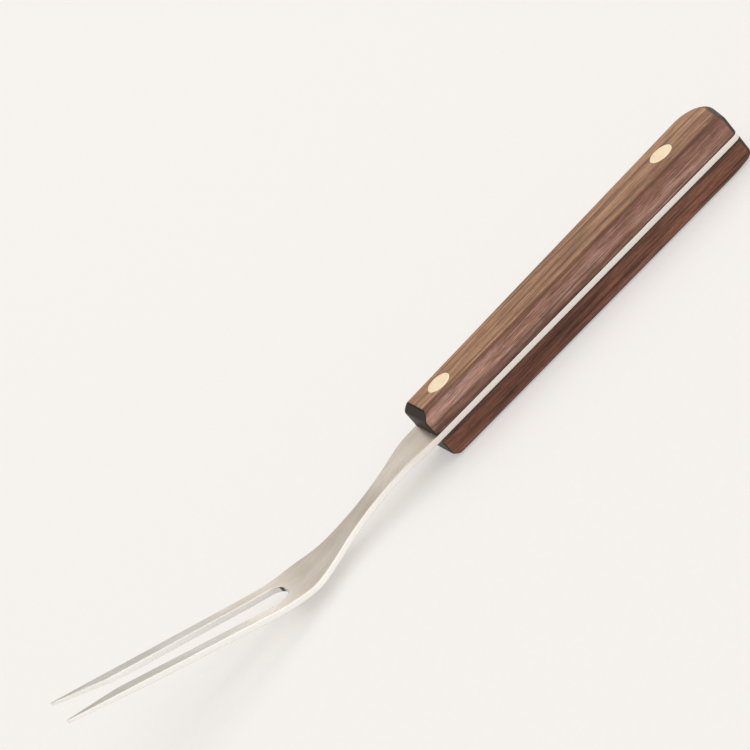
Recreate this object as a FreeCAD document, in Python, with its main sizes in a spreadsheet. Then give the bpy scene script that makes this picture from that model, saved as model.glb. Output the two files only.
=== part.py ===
import FreeCAD, Part
import os
import Sketcher
from FreeCAD import Placement, Rotation, Vector

# A two-tined serving fork. One bent strip of stainless steel is the tang, the shank and the tines, and
# two wooden scales are riveted to the tang. Each sub-part is drawn with x = 0 at the front end of the
# scales, +X towards the tips, and z = 0 in the middle of the tang's thickness. Its Placement then puts
# it in the part's frame, which stands on z = 0 with x = 0 at half of the overall length.

SIZES = {
    "overall_length": 258.6,
    "handle_length": 128.0,
    "handle_front_width": 15.7,
    "handle_rear_width": 21.2,
    "scale_thickness": 8.0,
    # The butt's end is square on its -Y half and slants off towards a sharper corner on its +Y half.
    "butt_radius": 9.3,
    "butt_slant": 2.05,
    "butt_slant_start": 0.4,
    "butt_slant_radius": 7.0,
    "butt_corner_radius": 1.2,
    "long_edge_radius": 2.5,
    "front_chamfer": 2.4,
    "front_corner_radius": 0.8,
    "steel_thickness": 2.0,
    # Outline of the steel, as distances from the scales' front end and full widths.
    "shoulder_distance": 5.4,
    "shoulder_width": 15.6,
    "shoulder_radius": 15.0,
    "neck_distance": 30.5,
    "neck_corner_width": 2.1,
    "neck_radius": 58.0,
    "root_distance": 54.25,
    "root_width": 21.2,
    "root_radius": 16.0,
    "tip_spread": 16.8,
    "slot_distance": 61.1,
    "slot_root_width": 11.9,
    "slot_corner_radius": 4.6,
    "point_length": 16.1,
    "slot_front_width": 8.8,
    "point_spread": 15.6,
    "tip_radius": 0.25,
    # Bends of the steel, seen from the side.
    "first_bend_distance": 9.8,
    "shank_drop": 5.27,
    "second_bend_distance": 55.6,
    "tine_rise": 28.1,
    "first_bend_radius": 40.0,
    "second_bend_radius": 60.0,
    "bend_margin": 4.0,
    # Compression rivets: a head with a tube and a head with a pin.
    "front_rivet_inset": 12.0,
    "rear_rivet_inset": 21.35,
    "rivet_head_diameter": 7.94,
    "rivet_head_thickness": 1.6,
    "rivet_tube_diameter": 4.76,
    "rivet_pin_diameter": 3.18,
    "rivet_end_gap": 1.0,
    "rivet_bore_depth": 11.0,
    "rivet_pin_gap": 0.6,
}

doc = FreeCAD.newDocument("two_tined_fork")
sheet = doc.addObject("Spreadsheet::Sheet", "Sizes")
for row, (alias, value) in enumerate(SIZES.items(), start=1):
    sheet.set("A%d" % row, alias)
    sheet.set("B%d" % row, str(value))
    sheet.setAlias("B%d" % row, alias)
doc.recompute()

TOUCH = 1e-5


def origin_feature(body, role):
    for feature in body.Origin.OriginFeatures:
        if feature.Role == role:
            return feature
    raise RuntimeError("no origin feature " + role)


def new_sketch(body, name, role, height=None):
    """A sketch on one of the body's origin planes, raised by the expression height."""
    sketch = body.newObject("Sketcher::SketchObject", name)
    sketch.AttachmentSupport = [(origin_feature(body, role), "")]
    sketch.MapMode = "FlatFace"
    if height:
        sketch.setExpression("AttachmentOffset.Base.z", height)
    return sketch


def place_point(sketch, geometry, point, across, along):
    """Ties one point of a sketch to the origin by two expressions."""
    for kind, expression in (("DistanceX", across), ("DistanceY", along)):
        number = sketch.addConstraint(Sketcher.Constraint(kind, -1, 1, geometry, point, 1.0))
        sketch.setExpression("Constraints[%d]" % number, expression)


def draw_polygon(sketch, corners):
    """A closed polygon. Each corner is a pair of expressions."""
    count = len(corners)
    turn = Rotation(Vector(0, 0, 1), 360.0 / count)
    start = [Vector(1, 0, 0)]
    for _ in range(count - 1):
        start.append(turn.multVec(start[-1]))
    for number in range(count):
        sketch.addGeometry(Part.LineSegment(start[number], start[(number + 1) % count]), False)
    for number in range(count):
        sketch.addConstraint(Sketcher.Constraint("Coincident", number, 2, (number + 1) % count, 1))
    for number, (across, along) in enumerate(corners):
        place_point(sketch, number, 1, across, along)
    doc.recompute()


def draw_circles(sketch, centres, diameter):
    """Circles on the sketch's first axis. Each centre and the diameter are expressions."""
    for number, centre in enumerate(centres):
        sketch.addGeometry(Part.Circle(Vector(number, 0, 0), Vector(0, 0, 1), 1.0), False)
        place_point(sketch, number, 3, centre, "0")
        width = sketch.addConstraint(Sketcher.Constraint("Diameter", number, 2.0))
        sketch.setExpression("Constraints[%d]" % width, diameter)
    doc.recompute()


def pad(body, name, sketch, length, symmetric=False):
    feature = body.newObject("PartDesign::Pad", name)
    feature.Profile = sketch
    feature.SideType = "Symmetric" if symmetric else "One side"
    feature.setExpression("Length", length)
    doc.recompute()
    return feature


def pocket(body, name, sketch, depth=None):
    """A pocket below its sketch, as deep as the expression says, or right through both ways."""
    before = body.Shape.Volume
    feature = body.newObject("PartDesign::Pocket", name)
    feature.Profile = sketch
    if depth:
        feature.setExpression("Length", depth)
    else:
        feature.Type = "ThroughAll"
        feature.SideType = "Symmetric"
    doc.recompute()
    if feature.Shape.Volume > before - 1.0:
        raise RuntimeError(name + " cuts nothing")
    return feature


def edges_at_corners(feature, sketch, corners):
    """The edges that rise from the given corners of a polygon sketch, as edge names."""
    normal = sketch.Placement.Rotation.multVec(Vector(0, 0, 1))
    names = []
    for corner in corners:
        spot = sketch.Placement.multVec(sketch.Geometry[corner].StartPoint)
        for number, edge in enumerate(feature.Shape.Edges, start=1):
            offsets = [(vertex.Point - spot).cross(normal).Length for vertex in edge.Vertexes]
            if len(offsets) == 2 and max(offsets) < TOUCH:
                names.append("Edge%d" % number)
    if len(names) < len(corners):
        raise RuntimeError("an edge is missing at a corner of " + sketch.Name)
    return names


def round_edges(body, name, feature, edges, radius):
    fillet = body.newObject("PartDesign::Fillet", name)
    fillet.Base = (feature, edges)
    fillet.setExpression("Radius", radius)
    doc.recompute()
    return fillet


def mirrored(points):
    """The points, each followed round the outline by its mirror image across y = 0."""
    return points + [(across, "-(%s)" % along) for across, along in reversed(points)]


def with_butt(front, flipped=False):
    """The front corners and their mirror image, closed by the butt. A flipped piece is turned over."""
    slant_side, square_side = ("-", "") if flipped else ("", "-")
    end = "-Sizes.handle_length"
    half_width = "Sizes.handle_rear_width / 2"
    return (
        [(end + " + Sizes.butt_slant", slant_side + half_width)]
        + [(across, "%s(%s)" % (slant_side, along)) for across, along in front]
        + [(across, "%s(%s)" % (square_side, along)) for across, along in reversed(front)]
        + [(end, square_side + half_width), (end, square_side + "Sizes.butt_slant_start")]
    )


def put_in_frame(piece, along="0", flipped=False):
    """Moves a sub-part from its drawing place into the part's frame."""
    if flipped:
        piece.Placement = Placement(Vector(), Rotation(Vector(1, 0, 0), 180))
    front = "Sizes.handle_length - Sizes.overall_length / 2"
    piece.setExpression("Placement.Base.x", "%s + (%s)" % (front, along))
    piece.setExpression("Placement.Base.z", "Sizes.scale_thickness + Sizes.steel_thickness / 2")


RIVET_PLACES = {
    "front_rivet": "-Sizes.front_rivet_inset",
    "rear_rivet": "Sizes.rear_rivet_inset - Sizes.handle_length",
}


def make_blank():
    """The outline of the steel, as it is stamped from sheet, with its slot and rivet holes."""
    body = doc.addObject("PartDesign::Body", "blank")
    outline = new_sketch(body, "blank_outline", "XY_Plane")
    tip = "Sizes.overall_length - Sizes.handle_length"
    draw_polygon(outline, with_butt([
        ("0", "Sizes.handle_front_width / 2"),
        ("Sizes.shoulder_distance", "Sizes.shoulder_width / 2"),
        ("Sizes.neck_distance", "Sizes.neck_corner_width / 2"),
        ("Sizes.root_distance", "Sizes.root_width / 2"),
        (tip, "Sizes.tip_spread / 2"),
    ]))
    plate = pad(body, "blank_plate", outline, "Sizes.overall_length / 2", symmetric=True)
    slot = new_sketch(body, "slot_outline", "XY_Plane")
    point_start = "%s - Sizes.point_length" % tip
    draw_polygon(slot, mirrored([
        ("Sizes.slot_distance", "Sizes.slot_root_width / 2"),
        (point_start, "Sizes.slot_front_width / 2"),
        (tip, "Sizes.point_spread / 2"),
        ("%s + Sizes.point_length" % tip, "Sizes.point_spread / 2"),
    ]))
    slotted = pocket(body, "slot", slot)
    holes = new_sketch(body, "rivet_hole_circles", "XY_Plane")
    draw_circles(holes, RIVET_PLACES.values(), "Sizes.rivet_tube_diameter")
    drilled = pocket(body, "rivet_holes", holes)
    rounded = drilled
    for name, sketch, corners, radius in (
        ("butt_corner", outline, (0,), "Sizes.butt_corner_radius"),
        ("butt_curve", outline, (11,), "Sizes.butt_radius"),
        ("butt_slant", outline, (12,), "Sizes.butt_slant_radius"),
        ("shoulders", outline, (2, 9), "Sizes.shoulder_radius"),
        ("roots", outline, (4, 7), "Sizes.root_radius"),
        ("neck", outline, (3, 8), "Sizes.neck_radius"),
        ("slot_end", slot, (0, 7), "Sizes.slot_corner_radius"),
        ("tips_outside", outline, (5, 6), "Sizes.tip_radius"),
        ("tips_inside", slot, (2, 5), "Sizes.tip_radius"),
    ):
        rounded = round_edges(body, name, rounded, edges_at_corners(rounded, sketch, corners), radius)
    return body


def make_strip():
    """The bent strip seen from the side, wider than the blank and a little longer at each end."""
    body = doc.addObject("PartDesign::Body", "strip")
    side = new_sketch(body, "strip_side", "XZ_Plane")
    top = "Sizes.steel_thickness / 2"
    low = "(%s - Sizes.shank_drop)" % top
    tip = "(Sizes.overall_length - Sizes.handle_length + Sizes.bend_margin)"
    shank_run = "(Sizes.second_bend_distance - Sizes.first_bend_distance)"
    shank_angle = "atan(Sizes.shank_drop / %s)" % shank_run
    tine_run = "(%s - Sizes.second_bend_distance)" % tip
    tine_angle = "atan(Sizes.tine_rise / %s)" % tine_run
    # Under each bend the lower corner lies on the line that halves the bend.
    first_shift = "Sizes.steel_thickness * tan(%s / 2)" % shank_angle
    second_tilt = "((%s - %s) / 2)" % (tine_angle, shank_angle)
    second_reach = "Sizes.steel_thickness / cos((%s + %s) / 2)" % (tine_angle, shank_angle)
    draw_polygon(side, [
        ("-Sizes.handle_length - Sizes.bend_margin", top),
        ("-Sizes.handle_length - Sizes.bend_margin", "-" + top),
        ("Sizes.first_bend_distance - " + first_shift, "-" + top),
        (
            "Sizes.second_bend_distance + %s * sin(%s)" % (second_reach, second_tilt),
            "%s - %s * cos(%s)" % (low, second_reach, second_tilt),
        ),
        (tip, "%s + Sizes.tine_rise - Sizes.steel_thickness / cos(%s)" % (low, tine_angle)),
        (tip, "%s + Sizes.tine_rise" % low),
        ("Sizes.second_bend_distance", low),
        ("Sizes.first_bend_distance", top),
    ])
    bent = pad(body, "strip_bar", side, "Sizes.root_width * 2", symmetric=True)
    for name, corner, radius in (
        ("first_bend_top", 7, "Sizes.first_bend_radius + Sizes.steel_thickness"),
        ("first_bend_under", 2, "Sizes.first_bend_radius"),
        ("second_bend_top", 6, "Sizes.second_bend_radius"),
        ("second_bend_under", 3, "Sizes.second_bend_radius + Sizes.steel_thickness"),
    ):
        bent = round_edges(body, name, bent, edges_at_corners(bent, side, [corner]), radius)
    return body


def make_fork_blade():
    """The steel: what the flat outline and the bent strip have in common."""
    halves = [make_blank(), make_strip()]
    blade = doc.addObject("Part::MultiCommon", "fork_blade")
    blade.Shapes = halves
    blade.Label = "fork_blade"
    put_in_frame(blade)
    return blade


def make_scale(name, flipped):
    """One wooden scale, drawn above the tang. The lower one is its mirror image, turned over."""
    body = doc.addObject("PartDesign::Body", name)
    body.Label = name
    outline = new_sketch(body, name + "_outline", "XY_Plane", "Sizes.steel_thickness / 2")
    draw_polygon(outline, with_butt([("0", "Sizes.handle_front_width / 2")], flipped))
    rounded = pad(body, name + "_slab", outline, "Sizes.scale_thickness")
    for part, corner, radius in (
        ("_butt_corner", 0, "Sizes.butt_corner_radius"),
        ("_butt_curve", 3, "Sizes.butt_radius"),
        ("_butt_slant", 4, "Sizes.butt_slant_radius"),
    ):
        edges = edges_at_corners(rounded, outline, [corner])
        rounded = round_edges(body, name + part, rounded, edges, radius)
    long_edges = [
        "Edge%d" % number
        for number, edge in enumerate(rounded.Shape.Edges, start=1)
        if min(vertex.Z for vertex in edge.Vertexes) > rounded.Shape.BoundBox.ZMax - TOUCH
        and min(vertex.X for vertex in edge.Vertexes) < -TOUCH
    ]
    round_edges(body, name + "_long_edges", rounded, long_edges, "Sizes.long_edge_radius")

    bevel = new_sketch(body, name + "_front_bevel", "XZ_Plane")
    top = "Sizes.steel_thickness / 2 + Sizes.scale_thickness"
    draw_polygon(bevel, [
        ("0", "%s - Sizes.front_chamfer" % top),
        ("Sizes.front_chamfer", "%s - Sizes.front_chamfer" % top),
        ("Sizes.front_chamfer", "%s + Sizes.front_chamfer" % top),
        ("-Sizes.front_chamfer", "%s + Sizes.front_chamfer" % top),
        ("-Sizes.front_chamfer", top),
    ])
    bevelled = pocket(body, name + "_bevel", bevel)
    front = edges_at_corners(bevelled, outline, (1, 2))
    round_edges(body, name + "_front_corners", bevelled, front, "Sizes.front_corner_radius")

    heads = new_sketch(body, name + "_head_circles", "XY_Plane", top)
    draw_circles(heads, RIVET_PLACES.values(), "Sizes.rivet_head_diameter")
    pocket(body, name + "_head_seats", heads, "Sizes.rivet_head_thickness")
    holes = new_sketch(body, name + "_hole_circles", "XY_Plane")
    draw_circles(holes, RIVET_PLACES.values(), "Sizes.rivet_tube_diameter")
    pocket(body, name + "_holes", holes)
    put_in_frame(body, flipped=flipped)
    return body


def turned_piece(name, profile, place, flipped=False):
    """A body of revolution about the z axis from corners that give radius and height."""
    body = doc.addObject("PartDesign::Body", name)
    body.Label = name
    sketch = new_sketch(body, name + "_profile", "XZ_Plane")
    draw_polygon(sketch, profile)
    feature = body.newObject("PartDesign::Revolution", name + "_turned")
    feature.Profile = sketch
    feature.ReferenceAxis = (origin_feature(body, "Z_Axis"), [""])
    feature.Angle = 360
    doc.recompute()
    put_in_frame(body, place, flipped)
    return body


def make_rivet(name, place):
    """A compression rivet: the tube half comes from above and the pin half from below."""
    outside = "(Sizes.steel_thickness / 2 + Sizes.scale_thickness)"
    seat = "(%s - Sizes.rivet_head_thickness)" % outside
    head = "Sizes.rivet_head_diameter / 2"
    tube = "Sizes.rivet_tube_diameter / 2"
    pin = "Sizes.rivet_pin_diameter / 2"
    bore_top = "(Sizes.rivet_bore_depth - %s + Sizes.rivet_end_gap)" % seat
    tube_half = turned_piece(name + "_tube", [
        ("0", outside),
        ("0", bore_top),
        (pin, bore_top),
        (pin, "Sizes.rivet_end_gap - " + seat),
        (tube, "Sizes.rivet_end_gap - " + seat),
        (tube, seat),
        (head, seat),
        (head, outside),
    ], place)
    # The pin half is drawn head up, as the tube half is, and turned over.
    pin_half = turned_piece(name + "_pin", [
        ("0", outside),
        ("0", "Sizes.rivet_pin_gap - " + bore_top),
        (pin, "Sizes.rivet_pin_gap - " + bore_top),
        (pin, seat),
        (head, seat),
        (head, outside),
    ], place, flipped=True)
    return [tube_half, pin_half]


pieces = [make_fork_blade(), make_scale("upper_scale", False), make_scale("lower_scale", True)]
for rivet, place in RIVET_PLACES.items():
    pieces.extend(make_rivet(rivet, place))
doc.recompute()

for item in doc.Objects:
    if "Invalid" in item.State or "Error" in item.State:
        raise RuntimeError(item.Name + " failed to build")
for piece in pieces:
    if piece.Shape.isNull() or not piece.Shape.isValid():
        raise RuntimeError(piece.Label + " has no valid shape")

os.makedirs("parts", exist_ok=True)
for piece in pieces:
    piece.Shape.exportStep("parts/%s.step" % piece.Label)
    box = piece.Shape.BoundBox
    print("%-18s solids %d  x %.2f..%.2f  y %.2f..%.2f  z %.2f..%.2f  volume %.1f" % (
        piece.Label, len(piece.Shape.Solids), box.XMin, box.XMax, box.YMin, box.YMax,
        box.ZMin, box.ZMax, piece.Shape.Volume,
    ))
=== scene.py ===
import math

import bmesh
import bpy
from mathutils import Matrix, Vector


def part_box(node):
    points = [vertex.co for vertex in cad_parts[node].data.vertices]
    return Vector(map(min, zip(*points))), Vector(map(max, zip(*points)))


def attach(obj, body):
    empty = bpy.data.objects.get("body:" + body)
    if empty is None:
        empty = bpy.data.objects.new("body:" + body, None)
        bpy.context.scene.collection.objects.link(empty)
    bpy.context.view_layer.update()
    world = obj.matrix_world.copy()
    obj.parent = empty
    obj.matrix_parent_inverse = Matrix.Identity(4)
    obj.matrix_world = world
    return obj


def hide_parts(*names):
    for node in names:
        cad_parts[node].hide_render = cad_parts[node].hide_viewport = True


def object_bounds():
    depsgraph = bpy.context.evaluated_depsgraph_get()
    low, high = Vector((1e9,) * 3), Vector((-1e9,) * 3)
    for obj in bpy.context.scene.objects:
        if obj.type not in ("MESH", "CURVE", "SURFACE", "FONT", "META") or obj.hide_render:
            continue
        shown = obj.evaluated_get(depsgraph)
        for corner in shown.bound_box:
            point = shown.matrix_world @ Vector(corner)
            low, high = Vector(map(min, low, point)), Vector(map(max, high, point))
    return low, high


# The looks of a two-tined pot fork: a bent strip of satin steel between two walnut scales, held by two
# brass compression rivets. Shapes are worked out in millimetres in a drawing frame with x = 0 at the
# front end of the scales, +X towards the tips and z = 0 in the middle of the tang. place() carries each
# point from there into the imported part's frame, in metres.

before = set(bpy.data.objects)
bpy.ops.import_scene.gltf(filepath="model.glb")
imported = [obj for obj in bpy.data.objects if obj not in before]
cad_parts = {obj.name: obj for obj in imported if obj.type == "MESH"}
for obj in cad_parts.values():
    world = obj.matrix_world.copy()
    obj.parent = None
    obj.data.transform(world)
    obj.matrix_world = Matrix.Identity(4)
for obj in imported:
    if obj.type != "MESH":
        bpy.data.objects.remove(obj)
cad_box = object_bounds()

MM = 0.001

upper_low, upper_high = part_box("upper_scale")
lower_low, lower_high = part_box("lower_scale")
blade_low, blade_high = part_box("fork_blade")
rivet_boxes = [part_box(name + "_tube") for name in ("front_rivet", "rear_rivet")]

FRONT = upper_high.x
TANG_MIDDLE = (upper_low.z + lower_high.z) / 2
HANDLE_LENGTH = (upper_high.x - upper_low.x) / MM
STEEL_THICKNESS = (upper_low.z - lower_high.z) / MM
SCALE_THICKNESS = (upper_high.z - upper_low.z) / MM
TIP_DISTANCE = (blade_high.x - FRONT) / MM
RIVET_PLACES = [((low.x + high.x) / 2 - FRONT) / MM for low, high in rivet_boxes]
HEAD_RADIUS = (rivet_boxes[0][1].x - rivet_boxes[0][0].x) / 2 / MM

# The handle's outline, which the tang shares. The butt's corners are (distance, half width, rounding
# radius), from the +y side to the -y side. A corner tighter than MITRE_RADIUS can't be inset evenly, so
# its outward directions lean to its mitre by MITRE_SHARE, which fades over MITRE_FADE. They are also
# longer by CORNER_CUT, which fades over CORNER_REACH and rounds the corner of the inset line.
FRONT_HALF_WIDTH = 7.85
BUTT_CORNERS = (
    (2.5 - HANDLE_LENGTH, 10.6, 2.2),
    (-HANDLE_LENGTH, -0.4, 7.0),
    (-HANDLE_LENGTH, -10.6, 9.3),
)
MITRE_RADIUS = 3.0
MITRE_SHARE = 0.9
MITRE_FADE = 8.0
CORNER_CUT = 0.4
CORNER_REACH = 6.5

# The scales' edges, which are rounded more at the end of the butt. The bevel at the front ends where
# the rounded long edges do.
LONG_EDGE_RADIUS = 2.4
BUTT_EDGE_RADIUS = 2.8
FRONT_BEVEL = LONG_EDGE_RADIUS
FRONT_EDGE_RADIUS = 0.45
JOINT_EDGE_RADIUS = 0.14
SEAT_EDGE_RADIUS = 0.08
SEAT_CLEARANCE = 0.02

# Corners of the steel's outline in front of the scales: distance, half width and rounding radius.
SIDE_CORNERS = ((5.4, 7.8, 15.0), (30.5, 1.05, 58.0), (54.25, 10.6, 16.0))
TINE_OUTSIDE = 8.4
TINE_INSIDE = 7.8
TIP_RADIUS = 0.28
SLOT_END = 61.1
SLOT_CORNERS = ((SLOT_END, 5.95, 4.6), (114.5, 4.4, 8.0))
SLOT_END_ZONE = 67.5
STEEL_EDGE_RADIUS = 0.28

# Where the tines begin to grow thinner, and the share of their thickness that is gone at the tips.
TAPER_START = 106.0
TAPER_SHARE = 0.45

# The painted shade in one corner inside the slot: how far it is from the slot's end and from the middle,
# the radius that is dark, and the radius where it ends.
PAINTED_SHADE_PLACE = (0.1, -2.7)
PAINTED_SHADE_RADIUS = 0.8
PAINTED_SHADE_FADE = 1.52

# Bends of the strip's middle line: distance, height and radius of each, then the slope to the tips.
BENDS = ((9.74, 0.0, 41.0), (55.72, -5.29, 61.0))
TINE_SLOPE = 0.3557

# The rivets' edges and hidden parts.
RIVET_NODES = ("front_rivet", "rear_rivet")
HEAD_EDGE_RADIUS = 0.12
HEAD_THICKNESS = 1.6
HOLE_RADIUS = 2.38
PIN_RADIUS = 1.59
RIVET_END_GAP = 1.0
BORE_TOP = 4.6
PIN_GAP = 0.6

# The camera: angles in degrees, lengths in metres, its lens in millimetres. It aims beside the front
# rivet.
CAMERA_HEADING = -8.63
CAMERA_FALL = 23.58
CAMERA_ROLL = -42.23
CAMERA_DISTANCE = 0.8
CAMERA_SHIFT = (-0.0238, 0.0083)
CAMERA_LENS = 132.48

# How finely the meshes are divided. Points closer than the last length are joined.
ROW_SPACING = 1.0
COLUMNS = 12
CORNER_ROWS = 12
CORNER_STEPS = 14
LINE_ARC_STEPS = 32
BUTT_ARC_STEPS = 8
LONG_EDGE_STEPS = 9
STEEL_EDGE_STEPS = 4
FINE_EDGE_STEPS = 3
WALL_STEPS = 6
TINE_ROOT_STEPS = 20
SEAT_PATCH = 5.5
SEAT_RINGS = 5
LATHE_STEPS = 72
WELD_DISTANCE = 0.003


# ---------------------------------------------------------------- lines

def rounding(before, pin, after):
    """The circle that rounds a corner: its centre and the directions to its first and last point."""
    corner = Vector(pin[:2])
    towards = (Vector(before[:2]) - corner).normalized()
    away = (Vector(after[:2]) - corner).normalized()
    half = towards.angle(away) / 2
    centre = corner + (towards + away).normalized() * pin[2] / math.sin(half)
    reach = pin[2] / math.tan(half)
    return (
        centre,
        (corner + towards * reach - centre).normalized(),
        (corner + away * reach - centre).normalized(),
    )


def rounded_line(corners):
    """Points along a line of corners (x, y, radius), with each inner corner rounded."""
    line = [Vector(corners[0][:2])]
    for before, pin, after in zip(corners, corners[1:], corners[2:]):
        if pin[2] == 0:
            line.append(Vector(pin[:2]))
            continue
        centre, start, end = rounding(before, pin, after)
        for step in range(LINE_ARC_STEPS + 1):
            line.append(centre + start.slerp(end, step / LINE_ARC_STEPS) * pin[2])
    line.append(Vector(corners[-1][:2]))
    return line


def resampled(line, count):
    """The same line through so many evenly spaced points, and one more."""
    reach = [0.0]
    for first, second in zip(line, line[1:]):
        reach.append(reach[-1] + (second - first).length)
    points = []
    piece = 0
    for step in range(count + 1):
        goal = reach[-1] * step / count
        while piece < len(line) - 2 and reach[piece + 1] < goal:
            piece += 1
        span = reach[piece + 1] - reach[piece]
        share = (goal - reach[piece]) / span if span else 0.0
        points.append(line[piece].lerp(line[piece + 1], min(1.0, share)))
    return points


def split_line(line, x):
    """The parts of a line before and after a distance, which both hold the point there."""
    number = next(n for n in range(1, len(line)) if line[n].x >= x)
    one, two = line[number - 1], line[number]
    cut = one.lerp(two, (x - one.x) / (two.x - one.x))
    return line[:number] + [cut], [cut] + line[number:]


def with_normals(points, side):
    """Stations along an edge: each point with its outward direction, left (1) or right (-1)."""
    stations = []
    for number, point in enumerate(points):
        one = points[max(0, number - 1)]
        two = points[min(len(points) - 1, number + 1)]
        run = (two - one).normalized()
        stations.append((point, Vector((-run.y, run.x)) * side))
    return stations


def butt_corners(side):
    """The butt's corners from one side (1 or -1) to the other, drawn with that side at +y."""
    return [(x, y * side, radius) for x, y, radius in BUTT_CORNERS[::side]]


def side_half_width(x, side):
    """Half the handle's width at a distance, before the butt's corners are rounded."""
    corner = butt_corners(side)[0]
    return FRONT_HALF_WIDTH + (corner[1] - FRONT_HALF_WIDTH) * x / corner[0]


def side_normal(side):
    corner = butt_corners(side)[0]
    return Vector((corner[1] - FRONT_HALF_WIDTH, -corner[0])).normalized()


def corner_arc(side):
    """The rounding of one side's corner of the butt, as rounding() gives it, and its mitre."""
    own, peak, _ = butt_corners(side)
    centre, start, end = rounding(peak, own, (0, FRONT_HALF_WIDTH))
    return centre, start, end, (start + end) / (1 + start.dot(end))


def mitred(normal, mitre, radius, distance):
    """A station's outward direction. Near a corner too tight to be inset it leans to the mitre and is
    longer, so that the corner is rounder on the inset line."""
    if radius > MITRE_RADIUS:
        return normal
    lean = MITRE_SHARE * max(0.0, 1 - distance / MITRE_FADE)
    cut = CORNER_CUT * max(0.0, 1 - distance / CORNER_REACH) ** 2
    return normal.lerp(mitre, lean) + mitre * cut


def butt_stations(side):
    """Along the end of the butt, from the centre line to the start of one side's corner."""
    own, peak, other = butt_corners(side)
    centre, _, end = rounding(other, peak, own)
    middle = Vector((-math.sqrt(1 - (centre.y / peak[2]) ** 2), -centre.y / peak[2]))
    corner_centre, corner_start, _, mitre = corner_arc(side)
    last = corner_centre + corner_start * own[2]
    line = [
        centre + middle.slerp(end, step / BUTT_ARC_STEPS) * peak[2]
        for step in range(BUTT_ARC_STEPS + 1)
    ]
    stations = with_normals(resampled(line + [last], COLUMNS), 1)
    stations[0] = (stations[0][0], middle)
    stations[-1] = (last, corner_start)
    return [
        (point, mitred(normal, mitre, own[2], (point - last).length)) for point, normal in stations
    ]


def side_stations(side, last_x):
    """Round the butt's corner and along the handle's side, with one at each end of a rivet's patch."""
    own = butt_corners(side)[0]
    centre, start, end, mitre = corner_arc(side)
    stations = []
    for step in range(CORNER_STEPS + 1):
        arm = start.slerp(end, step / CORNER_STEPS)
        stations.append((centre + arm * own[2], mitred(arm, mitre, own[2], 0.0)))
    first_x = stations[-1][0].x
    stops = [first_x]
    for middle in sorted(RIVET_PLACES):
        stops += [middle - SEAT_PATCH, middle + SEAT_PATCH]
    stops.append(last_x)
    for low, high in zip(stops, stops[1:]):
        steps = CORNER_ROWS if low == first_x else max(1, round((high - low) / ROW_SPACING))
        for step in range(1, steps + 1):
            x = low + (high - low) * step / steps
            outward = mitred(side_normal(side), mitre, own[2], x - first_x)
            stations.append((Vector((x, side_half_width(x, side))), outward))
    return stations


# ---------------------------------------------------------------- meshes

def place(point):
    """From the drawing frame in millimetres into the part's frame in metres."""
    return Vector((FRONT + point[0] * MM, point[1] * MM, TANG_MIDDLE + point[2] * MM))


def add_patch(mesh, rows, side, shape):
    """Quads between rows of points drawn at +y, for one side of the piece, put in place by shape()."""
    corners = [[mesh.verts.new(shape((p[0], p[1] * side, p[2]))) for p in row] for row in rows]
    for low, high in zip(corners, corners[1:]):
        for number in range(len(low) - 1):
            mesh.faces.new((low[number], low[number + 1], high[number + 1], high[number]))


def crossed(left, right):
    """Rows of points that cross evenly from one line of points to another."""
    return [
        [one.lerp(two, step / COLUMNS) for step in range(COLUMNS + 1)]
        for one, two in zip(left, right)
    ]


def lifted(rows, height):
    return [[(point.x, point.y, height) for point in row] for row in rows]


def inset_points(stations, inset):
    return [point - normal * inset(normal) for point, normal in stations]


def plate_patches(end, edge, hole_radius):
    """Patches of flat points from the centre line out to an edge, with a round hole at each rivet.

    The butt's end line is the first row, and the rows after it spread evenly along the centre line."""
    patches = []
    start = 0
    for middle in sorted(RIVET_PLACES):
        inside = [n for n, p in enumerate(edge) if abs(p.x - middle) < SEAT_PATCH + ROW_SPACING / 4]
        first, last = inside[0], inside[-1]
        low_x = edge[start].x if patches else end[0].x
        middles = [
            Vector((low_x + (edge[first].x - low_x) * step / (first - start), 0))
            for step in range(first - start + 1)
        ]
        patches.append(crossed(middles, edge[start:first + 1]))
        rows = crossed([Vector((edge[n].x, 0)) for n in (last, first)], (edge[last], edge[first]))
        border = rows[0] + edge[last - 1:first:-1] + rows[1][::-1]
        circle = [
            Vector((middle, 0)) + Vector((math.cos(angle), math.sin(angle))) * hole_radius
            for angle in (math.pi * n / (len(border) - 1) for n in range(len(border)))
        ]
        patches.append([
            [spot.lerp(rim, step / SEAT_RINGS) for spot, rim in zip(circle, border)]
            for step in range(SEAT_RINGS + 1)
        ])
        start = last
    patches.append(crossed([Vector((p.x, 0)) for p in edge[start:]], edge[start:]))
    patches[0][0] = end
    return patches


def hole_rows(middle, profile):
    """Rows round the wall of a hole, one for each (radius, height) of its profile."""
    count = 2 * COLUMNS + round(2 * SEAT_PATCH / ROW_SPACING)
    angles = [math.pi * number / count for number in range(count + 1)]
    return [
        [(middle + radius * math.cos(a), radius * math.sin(a), height) for a in angles]
        for radius, height in profile
    ]


def arc_profile(radius, steps, height, direction):
    """A rounded edge as (inset, height) pairs, from the face at that height to the wall."""
    angles = [math.pi / 2 * step / steps for step in range(steps + 1)]
    return [
        (radius * (1 - math.sin(a)), height - direction * radius * (1 - math.cos(a)))
        for a in angles
    ]


def wall_rows(stations, profile):
    """Rows down a wall, one for each station, where profile(normal) gives (inset, height) pairs."""
    return [
        [(*(point - normal * inset), height) for inset, height in profile(normal)]
        for point, normal in stations
    ]


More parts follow.
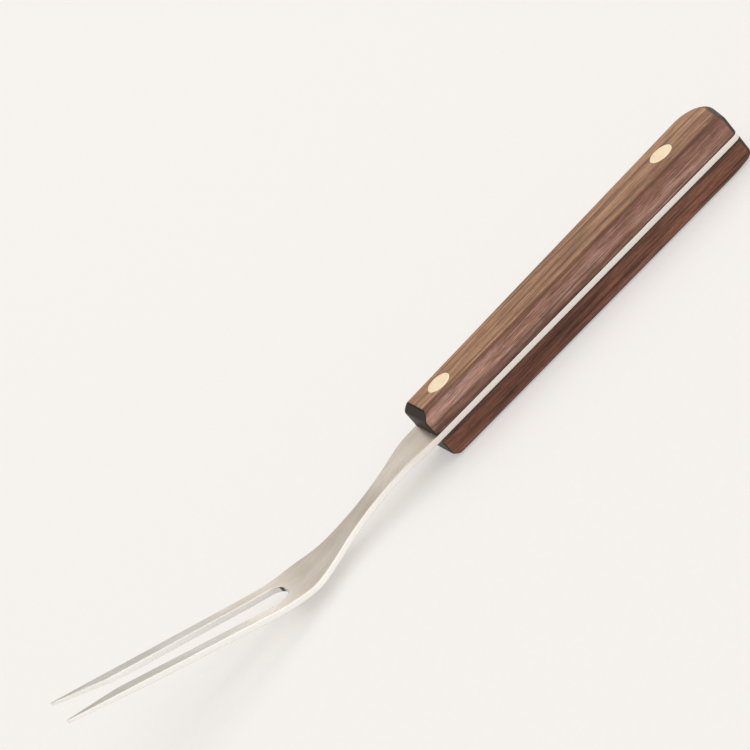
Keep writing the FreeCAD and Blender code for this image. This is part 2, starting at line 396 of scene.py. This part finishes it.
def make_piece(mesh, name, node, material, sharp_angle=38):
    """Welds the patches into one closed skin and makes them the piece that stands for a CAD node."""
    bmesh.ops.remove_doubles(mesh, verts=mesh.verts, dist=WELD_DISTANCE * MM)
    bmesh.ops.recalc_face_normals(mesh, faces=mesh.faces)
    for face in mesh.faces:
        face.smooth = True
    data = bpy.data.meshes.new(name)
    mesh.to_mesh(data)
    mesh.free()
    data.set_sharp_from_angle(angle=math.radians(sharp_angle))
    data.materials.append(material)
    piece = bpy.data.objects.new(name, data)
    bpy.context.scene.collection.objects.link(piece)
    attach(piece, "root")
    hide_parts(node)
    return piece


# ---------------------------------------------------------------- the steel

def bend_arcs():
    """Each bend as (pin, centre, radius, 1 for upwards or -1, angle before, angle after)."""
    (x1, z1, _), (x2, z2, _) = BENDS
    angles = [0.0, math.atan2(z2 - z1, x2 - x1), math.atan(TINE_SLOPE)]
    arcs = []
    for (x, z, radius), before, after in zip(BENDS, angles, angles[1:]):
        up = math.copysign(1, after - before)
        reach = radius * math.tan(abs(after - before) / 2)
        first = Vector((x - reach * math.cos(before), z - reach * math.sin(before)))
        centre = first + Vector((-math.sin(before), math.cos(before))) * radius * up
        arcs.append((Vector((x, z)), centre, radius, up, before, after))
    return arcs


BEND_ARCS = bend_arcs()


def bent(point):
    """From the flat strip to the bent one. The height becomes the distance from its middle line.

    The tines are ground thinner from below towards their tips."""
    x, y, height = point
    taper = TAPER_SHARE * max(0.0, x - TAPER_START) / (TIP_DISTANCE - TAPER_START)
    height += (STEEL_THICKNESS / 2 - height) * taper
    z = height
    for pin, centre, radius, up, before, after in BEND_ARCS:
        arm = radius - up * height
        if x >= centre.x + up * arm * math.sin(after):
            z = pin.y + (x - pin.x) * math.tan(after) + height / math.cos(after)
        elif x > centre.x + up * arm * math.sin(before):
            z = centre.y - up * math.sqrt(arm ** 2 - (x - centre.x) ** 2)
    return place((x, y, z))


def steel_profile(_normal):
    top = arc_profile(STEEL_EDGE_RADIUS, STEEL_EDGE_STEPS, STEEL_THICKNESS / 2, 1)
    under = arc_profile(STEEL_EDGE_RADIUS, STEEL_EDGE_STEPS, -STEEL_THICKNESS / 2, -1)
    return top + under[::-1]


def steel_inset(_normal):
    return STEEL_EDGE_RADIUS


def make_fork_blade(material):
    tip = (TIP_DISTANCE, (TINE_OUTSIDE + TINE_INSIDE) / 2, 0)
    outside = rounded_line([
        (0, FRONT_HALF_WIDTH, 0), *SIDE_CORNERS, (TIP_DISTANCE, TINE_OUTSIDE, TIP_RADIUS), tip
    ])
    slot = rounded_line([
        (SLOT_END, 0, 0), *SLOT_CORNERS, (TIP_DISTANCE, TINE_INSIDE, TIP_RADIUS), tip
    ])

    shank, tine = split_line(outside, SLOT_END - STEEL_EDGE_RADIUS)
    outer_root, outer_tine = split_line(tine, SLOT_END_ZONE)
    inner_root, inner_tine = split_line(slot, SLOT_END_ZONE)
    tine_steps = round((TIP_DISTANCE - SLOT_END_ZONE) / ROW_SPACING)
    shank = resampled(shank, round(SLOT_END / ROW_SPACING))
    outer_line = resampled(outer_root, TINE_ROOT_STEPS) + resampled(outer_tine, tine_steps)[1:]
    inner_line = resampled(inner_root, TINE_ROOT_STEPS) + resampled(inner_tine, tine_steps)[1:]

    outer = with_normals(shank + outer_line[1:], 1)
    inner = with_normals(inner_line, -1)
    inner[-1] = (inner[-1][0], Vector((1, 0)))
    outer[-1] = (outer[-1][0], Vector((1, 0)))

    mesh = bmesh.new()
    for side in (1, -1):
        butt = butt_stations(side)
        walls = side_stations(side, 0.0) + outer[1:]
        body_edge = inset_points(walls[:len(shank) - len(outer)], steel_inset)
        inner[0] = (Vector((body_edge[-1].x + STEEL_EDGE_RADIUS, 0)), Vector((1, 0)))
        tine_edge = inset_points(outer[len(shank) - 1:], steel_inset)
        hole = HOLE_RADIUS + SEAT_CLEARANCE
        patches = plate_patches(inset_points(butt, steel_inset), body_edge, hole)
        patches.append(crossed(inset_points(inner, steel_inset), tine_edge))
        for height in (STEEL_THICKNESS / 2, -STEEL_THICKNESS / 2):
            for rows in patches:
                add_patch(mesh, lifted(rows, height), side, bent)
        for stations in (butt, walls, inner):
            add_patch(mesh, wall_rows(stations, steel_profile), side, bent)
        for middle in RIVET_PLACES:
            wall = [(hole, height) for height in (STEEL_THICKNESS / 2, -STEEL_THICKNESS / 2)]
            add_patch(mesh, hole_rows(middle, wall), side, bent)
    return make_piece(mesh, "steel_blade", "fork_blade", material)


# ---------------------------------------------------------------- the wooden scales

SCALE_TOP = STEEL_THICKNESS / 2 + SCALE_THICKNESS
SCALE_UNDER = STEEL_THICKNESS / 2


def top_inset(normal):
    """The rounding of the top edge, which grows towards the end of the butt."""
    towards_butt = min(1.0, max(0.0, -normal.x))
    return LONG_EDGE_RADIUS + (BUTT_EDGE_RADIUS - LONG_EDGE_RADIUS) * towards_butt


def joint_inset(_normal):
    return JOINT_EDGE_RADIUS


def scale_profile(normal):
    top = arc_profile(top_inset(normal), LONG_EDGE_STEPS, SCALE_TOP, 1)
    under = arc_profile(JOINT_EDGE_RADIUS, FINE_EDGE_STEPS, SCALE_UNDER, -1)[::-1]
    high, low = top[-1][1], under[0][1]
    wall = [(0.0, high + (low - high) * step / WALL_STEPS) for step in range(1, WALL_STEPS)]
    return top + wall + under


def front_x(height):
    """Where the scale's front end is at a height: its upper part is bevelled."""
    return min(0.0, SCALE_TOP - FRONT_BEVEL - height)


def round_front_edges(mesh):
    """Rounds the edges of the front end, apart from the ones that lie on the tang."""
    front = FRONT - (FRONT_BEVEL + 0.01) * MM
    joint = (SCALE_UNDER + 2 * JOINT_EDGE_RADIUS) * MM
    edges = [
        edge for edge in mesh.edges
        if edge.is_manifold
        and edge.calc_face_angle() > math.radians(30)
        and min(vertex.co.x for vertex in edge.verts) > front
        and min(abs(vertex.co.z - TANG_MIDDLE) for vertex in edge.verts) > joint
    ]
    bmesh.ops.bevel(
        mesh, geom=edges, offset=FRONT_EDGE_RADIUS * MM, segments=FINE_EDGE_STEPS, profile=0.5,
        affect="EDGES"
    )


def make_scale(name, node, material, level):
    """One scale, above the tang (level 1) or its mirror image below it (level -1)."""
    def shape(point):
        return place((point[0], point[1], point[2] * level))

    mesh = bmesh.new()
    seat = HEAD_RADIUS + SEAT_CLEARANCE
    hole = HOLE_RADIUS + SEAT_CLEARANCE
    for side in (1, -1):
        butt = butt_stations(side)
        stations = side_stations(side, -FRONT_BEVEL - ROW_SPACING)
        top_edge = inset_points(stations, top_inset)
        bevel_width = side_half_width(-FRONT_BEVEL, side) - LONG_EDGE_RADIUS
        top_edge.append(Vector((-FRONT_BEVEL, bevel_width)))
        under_edge = inset_points(stations, joint_inset)
        under_edge.append(Vector((0, side_half_width(0, side) - JOINT_EDGE_RADIUS)))
        for inset, edge, radius, height in (
            (top_inset, top_edge, seat + SEAT_EDGE_RADIUS, SCALE_TOP),
            (joint_inset, under_edge, hole, SCALE_UNDER),
        ):
            for rows in plate_patches(inset_points(butt, inset), edge, radius):
                add_patch(mesh, lifted(rows, height), side, shape)

        end = [
            (front_x(height), side_half_width(front_x(height), side) - inset, height)
            for inset, height in scale_profile(side_normal(side))
        ]
        add_patch(mesh, wall_rows(butt, scale_profile), side, shape)
        add_patch(mesh, wall_rows(stations, scale_profile) + [end], side, shape)
        add_patch(mesh, [
            [(x, y * step / COLUMNS, height) for step in range(COLUMNS + 1)] for x, y, height in end
        ], side, shape)

        floor = SCALE_TOP - HEAD_THICKNESS
        edge_arc = arc_profile(SEAT_EDGE_RADIUS, FINE_EDGE_STEPS, SCALE_TOP, 1)
        rim = [(seat + inset, height) for inset, height in edge_arc]
        for middle in RIVET_PLACES:
            wall = rim + [(seat, floor), (hole, floor), (hole, SCALE_UNDER)]
            add_patch(mesh, hole_rows(middle, wall), side, shape)
    bmesh.ops.remove_doubles(mesh, verts=mesh.verts, dist=WELD_DISTANCE * MM)
    bmesh.ops.recalc_face_normals(mesh, faces=mesh.faces)
    round_front_edges(mesh)
    return make_piece(mesh, name, node, material)


# ---------------------------------------------------------------- the rivets

def make_rivet_half(name, node, place_x, profile, side, material):
    """A turned brass piece from corners (radius, height), for the upper (1) or lower side (-1)."""
    mesh = bmesh.new()
    angles = [2 * math.pi * step / LATHE_STEPS for step in range(LATHE_STEPS + 1)]
    rows = [
        [place((place_x + radius * math.cos(a), radius * math.sin(a), side * height)) for a in angles]
        for radius, height in profile
    ]
    corners = [[mesh.verts.new(point) for point in row] for row in rows]
    for low, high in zip(corners, corners[1:]):
        for number in range(LATHE_STEPS):
            mesh.faces.new((low[number], low[number + 1], high[number + 1], high[number]))
    return make_piece(mesh, name, node, material)


def head_profile():
    """The head's flat face and its slightly broken edge, from the middle outwards."""
    face = [(HEAD_RADIUS * share, SCALE_TOP) for share in (0.0, 0.25, 0.5, 0.75)]
    rim = [
        (HEAD_RADIUS - inset, height)
        for inset, height in arc_profile(HEAD_EDGE_RADIUS, FINE_EDGE_STEPS, SCALE_TOP, 1)
    ]
    return face + rim + [(HEAD_RADIUS, SCALE_TOP - HEAD_THICKNESS)]


def make_rivets(material):
    under_head = SCALE_TOP - HEAD_THICKNESS
    tube = [
        (HOLE_RADIUS, under_head),
        (HOLE_RADIUS, RIVET_END_GAP - under_head),
        (PIN_RADIUS + SEAT_CLEARANCE, RIVET_END_GAP - under_head),
        (PIN_RADIUS + SEAT_CLEARANCE, BORE_TOP),
        (0.0, BORE_TOP),
    ]
    pin = [
        (PIN_RADIUS, under_head),
        (PIN_RADIUS, PIN_GAP - BORE_TOP),
        (0.0, PIN_GAP - BORE_TOP),
    ]
    for node, middle in zip(RIVET_NODES, RIVET_PLACES):
        make_rivet_half(node + "_upper", node + "_tube", middle, head_profile() + tube, 1, material)
        make_rivet_half(node + "_lower", node + "_pin", middle, head_profile() + pin, -1, material)


# ---------------------------------------------------------------- materials

class Finish:
    """A node material in the making. Its position is in millimetres in the part's frame."""

    def __init__(self, name):
        self.material = bpy.data.materials.new(name)
        self.material.use_nodes = True
        self.tree = self.material.node_tree
        self.shader = self.tree.nodes["Principled BSDF"]
        self.position = self.add(
            "ShaderNodeVectorMath", operation="SCALE",
            inputs={0: self.add("ShaderNodeTexCoord").outputs["Object"], "Scale": 1 / MM},
        ).outputs[0]

    def add(self, kind, inputs=None, **settings):
        node = self.tree.nodes.new(kind)
        for name, value in settings.items():
            setattr(node, name, value)
        for name, value in (inputs or {}).items():
            if isinstance(value, bpy.types.NodeSocket):
                self.tree.links.new(value, node.inputs[name])
            else:
                node.inputs[name].default_value = value
        return node

    def math(self, operation, *values):
        node = self.add("ShaderNodeMath", operation=operation, inputs=dict(enumerate(values)))
        return node.outputs[0]

    def stretched(self, *scale):
        node = self.add(
            "ShaderNodeVectorMath", operation="MULTIPLY", inputs={0: self.position, 1: scale}
        )
        return node.outputs[0]

    def noise(self, scale, detail=4.0, roughness=0.5, distortion=0.0):
        """Noise that varies so many times in a millimetre along x, y and z."""
        node = self.add("ShaderNodeTexNoise", inputs={
            "Vector": self.stretched(*scale), "Scale": 1.0, "Detail": detail,
            "Roughness": roughness, "Distortion": distortion,
        })
        return node.outputs["Fac"]

    def normal_parts(self):
        """How far the surface faces along x, y and z, each from 0 to 1."""
        normal = self.add("ShaderNodeNewGeometry").outputs["Normal"]
        parts = self.add("ShaderNodeSeparateXYZ", inputs={0: normal}).outputs
        return [self.math("ABSOLUTE", part) for part in parts]

    def ramp(self, value, *stops, smooth=False):
        """A number or a colour for each stop (place, value)."""
        node = self.add("ShaderNodeValToRGB", inputs={"Fac": value})
        points = node.color_ramp.elements
        node.color_ramp.interpolation = "EASE" if smooth else "LINEAR"
        while len(points) < len(stops):
            points.new(1.0)
        for point, (where, what) in zip(points, stops):
            point.position = where
            point.color = (*what, 1.0) if isinstance(what, tuple) else (what, what, what, 1.0)
        return node.outputs["Color"]

    def mix(self, share, one, two, blend="MIX"):
        node = self.add("ShaderNodeMix", data_type="RGBA", blend_type=blend)
        for name, value in (("Factor_Float", share), ("A_Color", one), ("B_Color", two)):
            socket = next(socket for socket in node.inputs if socket.identifier == name)
            if isinstance(value, bpy.types.NodeSocket):
                self.tree.links.new(value, socket)
            else:
                socket.default_value = (*value, 1.0) if isinstance(value, tuple) else value
        return next(socket for socket in node.outputs if socket.identifier == "Result_Color")

    def bump(self, height, depth, below=None):
        """A bump of so many millimetres, on top of another one."""
        inputs = {"Height": height, "Distance": depth * MM, "Strength": 1.0}
        if below:
            inputs["Normal"] = below
        return self.add("ShaderNodeBump", inputs=inputs).outputs["Normal"]

    def finish(self, **sockets):
        names = {
            "color": "Base Color", "roughness": "Roughness", "metallic": "Metallic", "normal": "Normal",
            "specular": "Specular IOR Level", "glow": "Emission Color",
            "glow_strength": "Emission Strength",
        }
        for name, value in sockets.items():
            socket = self.shader.inputs[names[name]]
            if isinstance(value, bpy.types.NodeSocket):
                self.tree.links.new(value, socket)
            else:
                socket.default_value = value
        return self.material


def srgb(red, green, blue):
    """A colour from its 0 to 255 display values."""
    def linear(value):
        share = value / 255
        return share / 12.92 if share <= 0.04045 else ((share + 0.055) / 1.055) ** 2.4
    return (linear(red), linear(green), linear(blue))


def walnut(name, tones, side_tones, warm, pores_and_edge_shade, offset):
    """Oiled walnut with its grain along x.

    The tones are light, middle and dark, for the faces that lie flat and for the sides. Some streaks
    have the warm colour, and pores the colour after it, which is also painted as shade in a band along
    the rounded long edges. offset moves the pattern, so that two pieces differ."""
    finish = Finish(name)
    height = finish.add("ShaderNodeSeparateXYZ", inputs={0: finish.position}).outputs[2]
    from_tang = finish.math("ABSOLUTE", finish.math("SUBTRACT", height, TANG_MIDDLE / MM))
    finish.position = finish.add(
        "ShaderNodeVectorMath", operation="ADD", inputs={0: finish.position, 1: offset}
    ).outputs[0]
    waves = finish.noise((0.014, 0.20, 0.20), detail=3.0)
    streaks = finish.noise((0.012, 0.60, 0.60), detail=5.0, roughness=0.62, distortion=0.5)
    fibres = finish.noise((0.05, 3.4, 3.4), detail=7.0, roughness=0.72)
    pores = finish.noise((0.20, 6.0, 6.0), detail=2.0, roughness=0.5)
    ends, sides, up = finish.normal_parts()
    beside = finish.ramp(sides, (0.55, 0.0), (0.85, 1.0), smooth=True)
    light, middle, dark = [
        finish.mix(beside, flat, side) for flat, side in zip(tones, side_tones)
    ]
    base = finish.mix(finish.ramp(waves, (0.36, 0.0), (0.62, 1.0), smooth=True), middle, light)
    warmth = finish.noise((0.020, 0.9, 0.9), detail=4.0, roughness=0.6)
    base = finish.mix(finish.ramp(warmth, (0.48, 0.0), (0.62, 0.75)), base, warm)
    base = finish.mix(finish.ramp(streaks, (0.50, 0.0), (0.64, 0.9)), base, dark)
    base = finish.mix(finish.ramp(fibres, (0.36, 0.75), (0.52, 0.0)), base, pores_and_edge_shade)
    base = finish.mix(finish.ramp(fibres, (0.54, 0.0), (0.70, 0.6)), base, light)
    base = finish.mix(finish.ramp(pores, (0.62, 0.0), (0.72, 0.7)), base, pores_and_edge_shade)
    figure = finish.noise((0.13, 0.55, 0.55), detail=6.0, roughness=0.72, distortion=0.8)
    mottle = finish.ramp(figure, (0.38, srgb(216, 210, 206)), (0.62, srgb(255, 255, 255)))
    base = finish.mix(1.0, base, mottle, "MULTIPLY")
    # Painted shade: a dark band on the rounded long edges, where they turn from the top to the side.
    edge = finish.ramp(up, (0.50, 0.0), (0.76, 0.68), (0.90, 0.68), (0.975, 0.0), smooth=True)
    base = finish.mix(edge, base, pores_and_edge_shade)
    end_grain = finish.ramp(ends, (0.20, 0.0), (0.52, 1.0), smooth=True)
    base = finish.mix(end_grain, base, srgb(54, 40, 31))
    # Painted shade: the wood darkens towards the tang, and a thin painted line of shade runs along the
    # joint with it.
    depth = finish.math("DIVIDE", from_tang, SCALE_THICKNESS)
    shade = finish.ramp(depth, (0.15, srgb(222, 220, 219)), (0.65, srgb(255, 255, 255)), smooth=True)
    base = finish.mix(1.0, base, shade, "MULTIPLY")
    joint = finish.ramp(depth, (0.145, 0.8), (0.18, 0.0))
    base = finish.mix(joint, base, srgb(52, 42, 36))
    relief = finish.bump(fibres, 0.02)
    relief = finish.bump(finish.ramp(pores, (0.62, 1.0), (0.72, 0.0)), 0.04, relief)
    return finish.finish(
        color=base, roughness=finish.ramp(fibres, (0.3, 0.62), (0.7, 0.48)), normal=relief, specular=0.3
    )


def satin_steel():
    """Steel brushed lengthwise on its faces, and paler and rougher on its ground edges.

    Painted highlights and reflections make the faces brightest beside the slot's end. Painted shade
    greys the slot's walls near its end, and a painted spot of shade darkens one corner there."""
    finish = Finish("satin_steel")
    x, y, _ = finish.add("ShaderNodeSeparateXYZ", inputs={0: finish.position}).outputs
    along = finish.math("DIVIDE", finish.math("SUBTRACT", x, FRONT / MM), TIP_DISTANCE)
    # Painted highlights and reflections: the faces' brightness along the fork.
    painted_reflections = finish.ramp(
        along, (0.02, srgb(232, 230, 227)), (0.12, srgb(246, 245, 244)), (0.24, srgb(226, 224, 221)),
        (0.40, srgb(222, 220, 217)), (0.52, srgb(255, 255, 255)), (0.68, srgb(230, 235, 239)),
        (0.95, srgb(215, 220, 224)), smooth=True
    )
    tang = finish.ramp(along, (0.0, srgb(238, 234, 230)), (0.1, srgb(255, 255, 255)))
    # Painted shade: a dark spot in one corner at the slot's end.
    corner_x = finish.math("SUBTRACT", x, FRONT / MM + SLOT_END + PAINTED_SHADE_PLACE[0])
    corner_y = finish.math("SUBTRACT", y, PAINTED_SHADE_PLACE[1])
    away = finish.math("SQRT", finish.math(
        "ADD", finish.math("MULTIPLY", corner_x, corner_x), finish.math("MULTIPLY", corner_y, corner_y)
    ))
    painted_corner_shade = finish.ramp(
        finish.math("DIVIDE", away, PAINTED_SHADE_FADE),
        (PAINTED_SHADE_RADIUS / PAINTED_SHADE_FADE, 1.0), (1.0, 0.0), smooth=True
    )
    up = finish.normal_parts()[2]
    face = finish.ramp(up, (0.45, 0.0), (0.8, 1.0))
    lines = finish.noise((0.08, 14.0, 14.0), detail=4.0, roughness=0.6)
    grinding = finish.noise((9.0, 1.0, 2.0), detail=3.0, roughness=0.6)
    clouds = finish.noise((0.05, 0.12, 0.12), detail=3.0)
    color = finish.ramp(clouds, (0.3, srgb(222, 209, 191)), (0.7, srgb(246, 237, 225)))
    color = finish.mix(1.0, color, painted_reflections, "MULTIPLY")
    streaks = finish.noise((0.03, 2.2, 2.2), detail=5.0, roughness=0.7)
    color = finish.mix(finish.ramp(streaks, (0.40, 0.30), (0.60, 0.0)), color, srgb(176, 166, 152))
    edge_color = finish.ramp(grinding, (0.3, srgb(246, 242, 238)), (0.7, srgb(255, 254, 251)))
    edge_color = finish.mix(1.0, edge_color, tang, "MULTIPLY")
    # Painted shade: the slot's walls are greyer near its end.
    off_middle = finish.math("DIVIDE", finish.math("ABSOLUTE", y), TINE_INSIDE)
    painted_slot_shade = finish.math(
        "MULTIPLY", finish.ramp(off_middle, (0.92, 1.0), (0.99, 0.0)),
        finish.ramp(along, (0.45, 0.0), (0.475, 1.0), (0.60, 1.0), (0.85, 0.0))
    )
    edge_color = finish.mix(painted_slot_shade, edge_color, srgb(231, 229, 226))
    edge_color = finish.mix(painted_corner_shade, edge_color, srgb(92, 84, 74))
    roughness = finish.ramp(lines, (0.3, 0.30), (0.7, 0.42))
    relief = finish.bump(lines, 0.0015)
    return finish.finish(
        color=finish.mix(face, edge_color, color), metallic=1.0,
        roughness=finish.mix(face, (0.55, 0.55, 0.55), roughness), normal=relief
    )


def brass():
    finish = Finish("brass")
    lines = finish.noise((0.3, 18.0, 18.0), detail=3.0, roughness=0.6)
    clouds = finish.noise((0.4, 0.4, 0.4), detail=3.0)
    color = finish.ramp(clouds, (0.3, srgb(238, 216, 180)), (0.7, srgb(247, 229, 196)))
    return finish.finish(
        color=color, metallic=1.0, roughness=finish.ramp(lines, (0.3, 0.36), (0.7, 0.5)),
        normal=finish.bump(lines, 0.001)
    )


def paper_floor():
    """Pale paper on a light table, whose glow keeps the shadows light."""
    finish = Finish("paper_floor")
    grain = finish.noise((0.5, 0.5, 0.5), detail=3.0)
    return finish.finish(
        color=finish.ramp(grain, (0.3, srgb(185, 179, 172)), (0.7, srgb(187, 181, 175))),
        roughness=0.9, specular=0.1, glow=(1.0, 1.0, 0.985, 1.0), glow_strength=0.425
    )


# ---------------------------------------------------------------- the studio

def make_floor(material):
    half = 6.0
    data = bpy.data.meshes.new("floor")
    corners = [(-half, -half, 0), (half, -half, 0), (half, half, 0), (-half, half, 0)]
    data.from_pydata(corners, [], [(0, 1, 2, 3)])
    data.materials.append(material)
    floor = bpy.data.objects.new("floor", data)
    floor.location.z = cad_box[0].z - 0.02 * MM
    bpy.context.scene.collection.objects.link(floor)


def make_lamp(name, place_at, aim, size, watts, color):
    data = bpy.data.lights.new(name, "AREA")
    data.shape = "SQUARE"
    data.size = size
    data.energy = watts
    data.color = color
    lamp = bpy.data.objects.new(name, data)
    lamp.location = place_at
    lamp.rotation_euler = (Vector(aim) - Vector(place_at)).to_track_quat("-Z", "Y").to_euler()
    bpy.context.scene.collection.objects.link(lamp)


def make_world():
    """A pale room, brighter towards the butt's end and the camera."""
    world = bpy.data.worlds.new("studio")
    bpy.context.scene.world = world
    world.use_nodes = True
    tree = world.node_tree
    direction = tree.nodes.new("ShaderNodeTexCoord").outputs["Generated"]
    slope = tree.nodes.new("ShaderNodeVectorMath")
    slope.operation = "DOT_PRODUCT"
    slope.inputs[1].default_value = (-0.7, 0.16, 0.0)
    tree.links.new(direction, slope.inputs[0])
    room = tree.nodes.new("ShaderNodeMath")
    room.inputs[1].default_value = 0.84
    tree.links.new(slope.outputs["Value"], room.inputs[0])
    backdrop = tree.nodes["Background"]
    backdrop.inputs["Color"].default_value = (0.975, 0.985, 1.0, 1.0)
    tree.links.new(room.outputs[0], backdrop.inputs["Strength"])


def make_camera():
    """A long lens that looks down along -Y and is rolled, so that the fork lies corner to corner."""
    heading, fall, roll = (math.radians(angle) for angle in (CAMERA_HEADING, CAMERA_FALL, CAMERA_ROLL))
    forward = Vector((
        math.cos(fall) * math.sin(heading), -math.cos(fall) * math.cos(heading), -math.sin(fall)
    ))
    level = Vector((-math.cos(heading), -math.sin(heading), 0))
    raised = level.cross(forward)
    right = level * math.cos(roll) + raised * math.sin(roll)
    up = raised * math.cos(roll) - level * math.sin(roll)
    rivet = place((RIVET_PLACES[0], 0, 0))
    spot = rivet + right * CAMERA_SHIFT[0] + up * CAMERA_SHIFT[1] - forward * CAMERA_DISTANCE
    data = bpy.data.cameras.new("camera")
    data.lens = CAMERA_LENS
    data.clip_start = 0.01
    camera = bpy.data.objects.new("camera", data)
    turn = Matrix((right, up, -forward)).transposed().to_4x4()
    camera.matrix_world = Matrix.Translation(spot) @ turn
    bpy.context.scene.collection.objects.link(camera)
    bpy.context.scene.camera = camera


steel = satin_steel()
make_fork_blade(steel)
make_scale("walnut_upper", "upper_scale", walnut(
    "walnut_upper",
    (srgb(196, 150, 110), srgb(160, 114, 80), srgb(104, 68, 45)),
    (srgb(196, 153, 138), srgb(146, 104, 91), srgb(92, 62, 52)),
    srgb(146, 98, 66), srgb(88, 54, 36), (0.0, 0.0, 0.0),
), 1)
make_scale("walnut_lower", "lower_scale", walnut(
    "walnut_lower",
    (srgb(160, 116, 86), srgb(128, 88, 64), srgb(92, 60, 43)),
    (srgb(144, 94, 70), srgb(98, 57, 41), srgb(54, 33, 27)),
    srgb(118, 62, 38), srgb(46, 31, 26), (31.0, 17.0, 9.0),
), -1)
make_rivets(brass())
make_floor(paper_floor())
make_world()
make_lamp("key", (-0.1, -0.9, 1.5), (0.0, 0.0, 0.0), 1.0, 4.4, (1.0, 0.94, 0.86))
make_lamp("fill", (0.1, 1.1, 1.3), (0.0, 0.0, 0.0), 1.4, 3.4, (0.95, 0.98, 1.0))
make_camera()

bpy.context.scene.view_settings.view_transform = "Standard"
